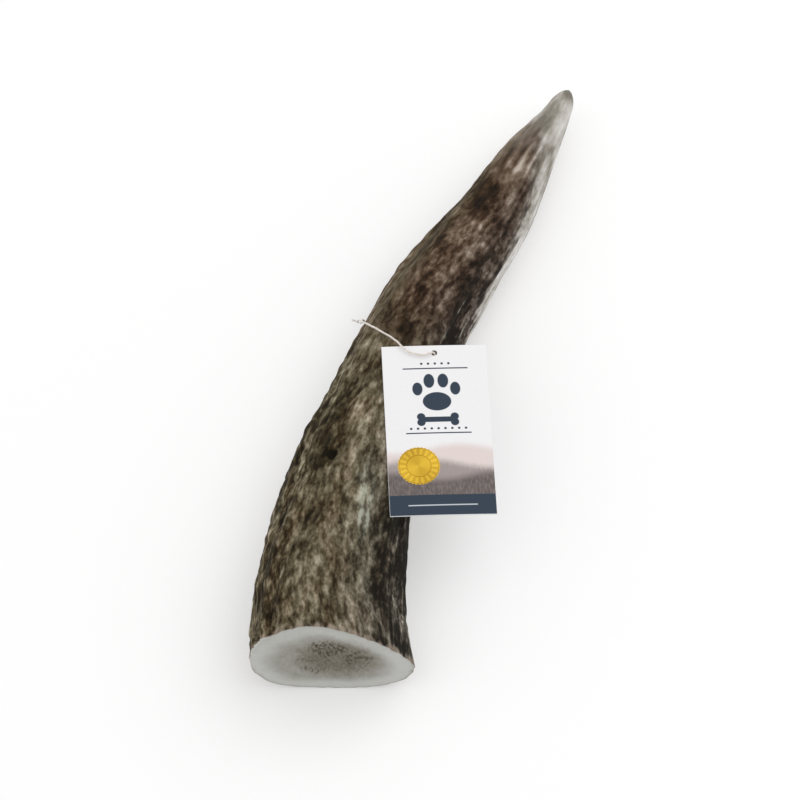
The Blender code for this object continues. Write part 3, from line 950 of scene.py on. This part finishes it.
def antler_material():
    """Stained skin, worn bone and the sawn face."""
    shader = Shader("antler_skin_and_bone", Specular_IOR_Level=0.14, Specular_Tint=(0.95, 0.85, 0.70, 1.0))
    grain = shader.read("grain", "Vector")
    layers = {name: layer_of(grain, layout) for name, layout in LAYERS.items()}
    for name, layout in UPPER_LAYERS.items():
        layers[name] += (layer_of(grain, layout) - layers[name]) * shader.read("warm")
    colour = skin_colour(shader, grain, skin_tone(shader, layers))

    cool = shader.read("cool")
    ragged = cool + weighed(layers, COOL_RAGGED)
    colour = (cool * ragged.step(*COOL_EDGE)).mix(colour, COOL_GREEN)

    # the skin is faded beside the worn bone and below the tip
    fading = shader.read("bone").step(*FADED_EDGE).math("MAXIMUM", shader.read("haze") * HAZE)
    colour = (fading * (weighed(layers, FADED_RAGGED) + 1.0)).mix(colour, FADED_SKIN)

    worn = worn_share(shader, layers)
    colour = worn.mix(colour, bone_colour(shader, grain, layers))
    # the pit is painted black: painted shade inside it, over its shallow modelled dip
    colour = pit_shade(shader, grain, layers).mix(colour, PIT_BLACK)

    # the skin looks sawn before the sawn face sets in
    sawn = shader.read("sawn")
    ragged = sawn + weighed(layers, SAWN_RAGGED)
    colour = ragged.step(*SAWN_EDGE).mix(colour, SAWN_SKIN)
    colour = sawn.step(*SAWN_FACE).mix(colour, sawn_colour(shader, grain))

    rough = worn.step(0.0, 1.0, *ROUGHNESS)
    bumps = {"Height": weighed(layers, BUMPS), "Distance": BUMP_HEIGHT, "Strength": 1.0}
    return shader.finish(Base_Color=colour, Roughness=rough, Normal=shader.node("ShaderNodeBump", bumps))


def cotton_material(name, tones):
    """Undyed cotton, in two tones."""
    shader = Shader(name, Roughness=0.92, Sheen_Weight=0.25)
    place = shader.node("ShaderNodeTexCoord", {}, "Object")
    return shader.finish(Base_Color=place.noise((900.0, 900.0, 900.0), 2.0).ramp(tones))


def card_material():
    """Plain white card."""
    shader = Shader("card", Roughness=0.6, Specular_IOR_Level=0.15)
    return shader.finish(Base_Color=shader.read("print", "Vector").noise((3.0, 3.0, 3.0), 3.0).ramp(CARD))


def hypot(across, up):
    """How far a place of the print lies from a middle."""
    return (across * across + up * up).math("SQRT")


def highest(values):
    """The highest of several values."""
    made = values[0]
    for value in values[1:]:
        made = made.math("MAXIMUM", value)
    return made


# ---- the tag's print


def ellipse(x, y, centre, reach):
    """1 inside an ellipse of the print, 0 outside."""
    distance = hypot((x - centre[0]) * (1.0 / reach[0]), (y - centre[1]) * (1.0 / reach[1]))
    edge = INK_EDGE / min(reach)
    return distance.step(1.0 + edge, 1.0 - edge)


def bone_mark(x, y):
    """1 inside a plain bone shape, 0 outside."""
    left, up = BONE_CENTRE
    wide, high = BONE_HALF
    marks = [stripe(x, left - wide, left + wide) * stripe(y, up - high, up + high)]
    for side in (-1.0, 1.0):
        for end in (-1.0, 1.0):
            centre = (left + side * wide, up + end * 0.75 * BONE_KNOB)
            marks.append(ellipse(x, y, centre, (BONE_KNOB, BONE_KNOB)))
    return highest(marks)


def slate_marks(x, y):
    """1 where the card is printed in slate, 0 elsewhere: paw, dots, bone, rules and the band."""
    marks = [bone_mark(x, y), stripe(y, -TAG_HEIGHT, BAND_TOP)]
    for left, up, wide, high in PAW_PADS:
        marks.append(ellipse(x, y, (PAW_CENTRE[0] + left, PAW_CENTRE[1] + up), (wide, high)))
    for height, count in DOT_ROWS:
        for i in range(count):
            centre = ((i - (count - 1) / 2) * DOT_SPACING, height)
            marks.append(ellipse(x, y, centre, (DOT_RADIUS, DOT_RADIUS)))
    for low, high in RULES:
        marks.append(stripe(y, low, high) * stripe(x, -RULE_HALF, RULE_HALF))
    return highest(marks)


def stripe(value, low, high):
    """1 between two values, 0 outside."""
    half = INK_EDGE / 2
    return value.step(low - half, low + half) * value.step(high + half, high - half)


def hills(x, y, colour, grass):
    """Rolling hills in mist, each layer darker than the one behind it."""
    for top, height, frequency, phase, tint in HILLS:
        ridge = (x * frequency + phase).math("SINE") * height + grass * GRASS + top
        colour = (ridge - y).step(*MIST).mix(colour, tint)
    return colour


def seal(x, y, colour):
    """A plain gold seal with a scalloped edge, a ring of rays and a painted sheen: (the print's colour, 1
    inside it).
    """
    across, up = x - SEAL_CENTRE[0], y - SEAL_CENTRE[1]
    distance = hypot(across, up)
    turn = up.math("ARCTAN2", across)
    edge = (turn * SEAL_SCALLOPS).math("COSINE") * (SEAL_SCALLOP_DEPTH / 2) + SEAL_RADIUS
    inside = (edge - distance).step(-INK_EDGE / 2, INK_EDGE / 2)
    rays, *rings = [stripe(distance, low * SEAL_RADIUS, high * SEAL_RADIUS) for low, high in SEAL_BANDS]
    # the gold is paler on two opposite sides: a painted sheen
    shine = (turn * 2.0 + 0.7).math("SINE") * 0.16 + 0.55
    shine += (turn * (SEAL_SCALLOPS / 2)).math("COSINE") * rays * 0.22
    for ring in rings:
        shine -= ring * 0.5
    return inside.mix(colour, shine.ramp(GOLD)), inside


def print_material():
    """The tag's front: white card, misty hills, slate marks and a gold seal."""
    shader = Shader("card_print", Specular_IOR_Level=0.15)
    place = shader.read("print", "Vector")
    x, y = (shader.node("ShaderNodeSeparateXYZ", {0: place}, axis) for axis in (0, 1))
    grass = place.noise((1.6, 0.5, 1.0), 3.0, 0.6)
    colour = hills(x, y, place.noise((2.5, 2.5, 2.5), 3.0).ramp(PRINTED_CARD), grass)
    meadow = grass.step(0.35, 0.7) * y.step(*MEADOW_FROM, 0.0, 0.45)
    colour = slate_marks(x, y).mix(meadow.mix(colour, MEADOW), SLATE)
    rule = stripe(y, *BAND_RULE) * stripe(x, -BAND_RULE_HALF, BAND_RULE_HALF)
    colour, golden = seal(x, y, rule.mix(colour, BAND_RULE_COLOUR))
    rough = golden.step(0.0, 1.0, 0.42, 0.30)
    return shader.finish(Base_Color=colour, Roughness=rough, Metallic=golden * 0.35)


# ---- the tag


def tag_outline(inset):
    """The card's outer corners and the hole's rim, moved in by an inset."""
    right, top = TAG_WIDTH / 2 - inset, TAG_HEIGHT / 2 - inset
    across, up = math.ceil(TAG_WIDTH / TAG_CELL), math.ceil(TAG_HEIGHT / TAG_CELL)
    outer = [(-right + 2 * right * i / across, -top) for i in range(across)]
    outer += [(right, -top + 2 * top * i / up) for i in range(up)]
    outer += [(-x, -y) for x, y in outer]
    radius = HOLE_DIAMETER / 2 + inset
    turns = [math.tau * i / HOLE_SIDES for i in range(HOLE_SIDES)]
    return outer, [(radius * math.cos(turn), HOLE_UP + radius * math.sin(turn)) for turn in turns]


def tag_sheet():
    """One side of the card: (points, triangles, loops), each loop (its first point, number of points)."""
    outer, hole = tag_outline(TAG_EDGE)
    points = [Vector(point) for point in outer + hole]
    loops = ((0, len(outer)), (len(outer), len(hole)))
    edges = [(start + i, start + (i + 1) % count) for start, count in loops for i in range(count)]
    middle = Vector((0.0, HOLE_UP))
    right, top = TAG_WIDTH / 2 - TAG_CELL / 2, TAG_HEIGHT / 2 - TAG_CELL / 2
    for j in range(int(2 * top / TAG_CELL) + 1):
        for i in range(int(2 * right / TAG_CELL) + 1):
            point = Vector((-right + i * TAG_CELL, -top + j * TAG_CELL))
            if (point - middle).length > HOLE_DIAMETER / 2 + 0.4 * TAG_CELL:
                points.append(point)
    made, _, triangles = geometry.delaunay_2d_cdt(points, edges, [], 1, 1e-5)[:3]
    kept = []
    for face in triangles:
        centre = sum((made[i] for i in face), Vector((0.0, 0.0))) / len(face)
        if (centre - middle).length > HOLE_DIAMETER / 2:
            kept.append(face)
    return made, kept, loops


def tag_place(x, y, z):
    """A point of the card, in millimetres in its own frame, with the card's slight bow."""
    return (x, y, z - TAG_BOW * (x / (TAG_WIDTH / 2)) ** 2)


def tag_mesh():
    """The card: (places, faces, number of faces on its front, which come first)."""
    flat, triangles, loops = tag_sheet()
    outer, hole = tag_outline(0.0)
    half, wall = TAG_THICKNESS / 2, TAG_THICKNESS / 2 - TAG_EDGE
    places, starts = [], []
    for points, z in ((flat, half), (flat, -half), (outer + hole, wall), (outer + hole, -wall)):
        starts.append(len(places))
        places += [tag_place(x, y, z) for x, y in points]
    front, back, wall_top, wall_foot = starts
    faces = [tuple(start + i for i in face) for start in (front, back) for face in triangles]
    for start, count in loops:
        for i in range(count):
            a, b = start + i, start + (i + 1) % count
            for upper, lower in ((front, wall_top), (wall_top, wall_foot), (wall_foot, back)):
                faces.append((upper + a, upper + b, lower + b, lower + a))
    return places, faces, len(triangles)


def build_tag():
    """The card tag, printed on its front."""
    places, faces, printed = tag_mesh()
    turn = Matrix.Translation(Vector(TAG_CENTRE) * MM)
    for axis, angle in zip("ZYX", reversed(TAG_TURN)):
        turn = turn @ Matrix.Rotation(math.radians(angle), 4, axis)
    mesh = new_mesh("hang_tag_card", [turn @ (Vector(place) * MM) for place in places], faces)
    give_values(mesh, "print", places)
    tag = put("hang_tag_card", mesh, "tag_card", card_material(), print_material())
    for polygon in mesh.polygons:
        polygon.material_index = 1 if polygon.index < printed else 0
        polygon.use_smooth = False
    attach(tag, "root")
    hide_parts("hang_tag")


# ---- the string


def smooth_path(points, count):
    """Points at even distances along a smooth curve through the given points."""
    knots = [2.0 * points[0] - points[1]] + points + [2.0 * points[-1] - points[-2]]
    fine = []
    for before, start, end, after in zip(knots, knots[1:], knots[2:], knots[3:]):
        for i in range(PATH_STEPS):
            fine.append(eased(start, end, 0.5 * (end - before), 0.5 * (after - start), i / PATH_STEPS))
    fine.append(points[-1])
    walked = [0.0]
    for start, end in zip(fine, fine[1:]):
        walked.append(walked[-1] + (end - start).length)
    path, i = [], 0
    for step in range(count):
        goal = walked[-1] * step / (count - 1)
        while i < len(fine) - 2 and walked[i + 1] < goal:
            i += 1
        share = (goal - walked[i]) / (walked[i + 1] - walked[i])
        path.append(fine[i].lerp(fine[i + 1], share))
    return path


def sides_along(path):
    """Two directions across a path at each of its points, without twist."""
    sides = []
    side = Vector((0.0, 0.0, 1.0))
    for i in range(len(path)):
        direction = (path[min(i + 1, len(path) - 1)] - path[max(i - 1, 0)]).normalized()
        side = (side - direction * side.dot(direction)).normalized()
        sides.append((side, direction.cross(side)))
    return sides


def ring_round(middle, side, other, reaches):
    """Points at even angles round a middle, each at its own reach."""
    ring = []
    for i, reach in enumerate(reaches):
        angle = math.tau * i / len(reaches)
        ring.append(middle + (side * math.cos(angle) + other * math.sin(angle)) * reach)
    return ring


def join_rings(faces, first, rings, count):
    """Adds the faces between rings whose vertices follow on one another from a first vertex."""
    for a in range(first, first + (rings - 1) * count, count):
        for j in range(count):
            k = (j + 1) % count
            faces.append((a + j, a + k, a + count + k, a + count + j))


def twisted_tube(places, faces, path, radius, pitch):
    """Adds a two-ply cord along a path, in metres, to lists of places and faces."""
    first = len(places)
    walked = 0.0
    for i, (point, (side, other)) in enumerate(zip(path, sides_along(path))):
        walked += (point - path[i - 1]).length if i else 0.0
        turn = math.tau * walked / pitch
        turns = [math.tau * j / STRING_SIDES - turn for j in range(STRING_SIDES)]
        hollows = [(1.0 - abs(math.cos(turn))) ** PLY_SHARPNESS for turn in turns]
        places += ring_round(point, side, other, [radius * (1.0 - PLY_DEPTH * hollow) for hollow in hollows])
    join_rings(faces, first, len(path), STRING_SIDES)
    faces.append(tuple(range(first, first + STRING_SIDES)))
    faces.append(tuple(range(len(places) - STRING_SIDES, len(places))))


def fibre(places, faces, start, direction, length, radius, bend):
    """Adds one bent fibre, three-sided and tapered, to lists of places and faces."""
    side = direction.orthogonal().normalized()
    other = direction.cross(side)
    first = len(places)
    for step in range(FIBRE_STEPS):
        share = step / FIBRE_STEPS
        middle = start + direction * length * share + bend * share * share
        places += ring_round(middle, side, other, [radius * (1.0 - FIBRE_TAPER * share)] * 3)
    join_rings(faces, first, FIBRE_STEPS, 3)
    last = len(places) - 3
    places.append(start + direction * length + bend)
    for corner in range(3):
        faces.append((last + corner, last + (corner + 1) % 3, last + 3))
    faces.append((first + 2, first + 1, first))


def random_direction(chance):
    """A direction at random."""
    return Vector([chance.gauss(0, 1) for _ in range(3)]).normalized()


def build_string(cotton):
    """The twisted cotton string, with stray fibres."""
    path = smooth_path([Vector(point) * MM for point in STRING_ROUTE], STRING_RINGS)
    places, faces = [], []
    twisted_tube(places, faces, path, 0.5 * STRING_DIAMETER * MM, PLY_PITCH * MM)
    chance = random.Random(5)
    for _ in range(FUZZ_COUNT):
        i = chance.randrange(FUZZ_MARGIN, len(path) - FUZZ_MARGIN)
        along = (path[i + 1] - path[i]).normalized()
        out = random_direction(chance)
        out = (out - along * out.dot(along)).normalized()
        start = path[i] + out * FUZZ_FROM * MM
        if start.z < FUZZ_ABOVE * MM:
            continue
        reach = chance.uniform(*FUZZ_LENGTH) * MM
        lean = (along * chance.uniform(*FUZZ_LEAN) + out * 0.5).normalized()
        bend = out * reach * chance.uniform(*FUZZ_BEND)
        fibre(places, faces, start, lean, reach, FUZZ_RADIUS * MM, bend)
    mesh = new_mesh("tag_string_ply", places, faces)
    string = put("tag_string_ply", mesh, "string", cotton)
    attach(string, "root")
    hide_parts("tag_string")
    walked = sum((b - a).length for a, b in zip(path, path[1:]))
    path[::8] + [path[-1]]


def knot_path():
    """An overhand knot's line, open at one place."""
    path = []
    for i in range(KNOT_POINTS):
        t = math.tau * KNOT_CLOSED * i / (KNOT_POINTS - 1)
        path.append(Vector((math.sin(t) + 2.0 * math.sin(2.0 * t), math.cos(t) - 2.0 * math.cos(2.0 * t),
                            -math.sin(3.0 * t))) * KNOT_SCALE * MM)
    return path


def build_knot(cotton):
    """The knot, with the string's two frayed ends."""
    centre = Vector(KNOT_CENTRE) * MM
    lean = Vector(KNOT_AXIS).to_track_quat("Z", "Y").to_matrix()
    places, faces = [], []
    line = [centre + lean @ point for point in knot_path()]
    twisted_tube(places, faces, line, KNOT_RADIUS * MM, KNOT_PITCH * MM)
    chance = random.Random(11)
    for direction in END_DIRECTIONS:
        out = Vector(direction).normalized()
        stem = []
        for i in range(END_POINTS):
            droop = Vector((0.0, 0.0, -END_DROOP * (i / (END_POINTS - 1)) ** 2))
            stem.append(centre + (out * (END_FROM + END_STEP * i) + droop) * MM)
        twisted_tube(places, faces, stem, END_RADIUS * MM, KNOT_PITCH * MM)
        for _ in range(FRAY_COUNT):
            spread = (out + FRAY_SPREAD * random_direction(chance)).normalized()
            root = stem[-1] + (random_direction(chance) * FRAY_ROOT - out * FRAY_BACK) * MM
            reach = chance.uniform(*FRAY_LENGTH) * MM
            bend = random_direction(chance) * FRAY_BEND * MM
            fibre(places, faces, root, spread, reach, FRAY_RADIUS * MM, bend)
    mesh = new_mesh("string_knot_ply", places, faces)
    knot = put("string_knot_ply", mesh, "string", cotton)
    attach(knot, "root")
    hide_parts("string_knot")
    return knot


# ---- floor, light and camera


def build_camera():
    """The camera, at the photograph's angle."""
    lens = bpy.data.cameras.new("camera")
    lens.lens = CAMERA_LENS
    lens.sensor_width = CAMERA_SENSOR
    lens.clip_end = CAMERA_REACH
    camera = new_object("camera", lens)
    back = Vector((0.0, -math.cos(CAMERA_ELEVATION), math.sin(CAMERA_ELEVATION)))
    camera.location = (CAMERA_AIM + back * CAMERA_DISTANCE) * MM
    camera.rotation_euler = (math.pi / 2 - CAMERA_ELEVATION, 0.0, 0.0)
    bpy.context.scene.camera = camera


def build_floor():
    """A plain, nearly white floor that glows faintly, as a light table does."""
    mesh = bpy.data.meshes.new("floor")
    h = FLOOR_HALF
    mesh.from_pydata([(-h, -h, 0.0), (h, -h, 0.0), (h, h, 0.0), (-h, h, 0.0)], [], [(0, 1, 2, 3)])
    shader = Shader("floor", Roughness=0.7, Base_Color=linear(FLOOR_GREY), Emission_Color=WHITE,
                    Emission_Strength=FLOOR_GLOW)
    mesh.materials.append(shader.finish())
    floor = new_object("floor", mesh)


def build_light(name, place, size, power):
    """A square soft light that looks at the object."""
    lamp = bpy.data.lights.new(name, "AREA")
    lamp.size = size
    lamp.energy = power
    light = new_object(name, lamp)
    light.location = place
    light.rotation_euler = (Vector(LIGHT_AIM) - Vector(place)).to_track_quat("-Z", "Y").to_euler()


def build_studio():
    """Even white light, with a soft key from the upper right."""
    world = bpy.data.worlds.new("studio")
    world.use_nodes = True
    background = world.node_tree.nodes["Background"].inputs
    background["Color"].default_value = WHITE
    background["Strength"].default_value = EVEN_LIGHT
    bpy.context.scene.world = world
    bpy.context.scene.view_settings.view_transform = "Standard"
    for lamp in LAMPS:
        build_light(*lamp)


def main():
    build_camera()
    cotton = cotton_material("cotton", COTTON)
    # the knot's whiter cotton is painted light against the shade between its strands
    knot = build_knot(cotton_material("cotton_ends", COTTON_ENDS))
    build_string(cotton)
    build_antler()
    build_tag()
    build_floor()
    build_studio()


main()
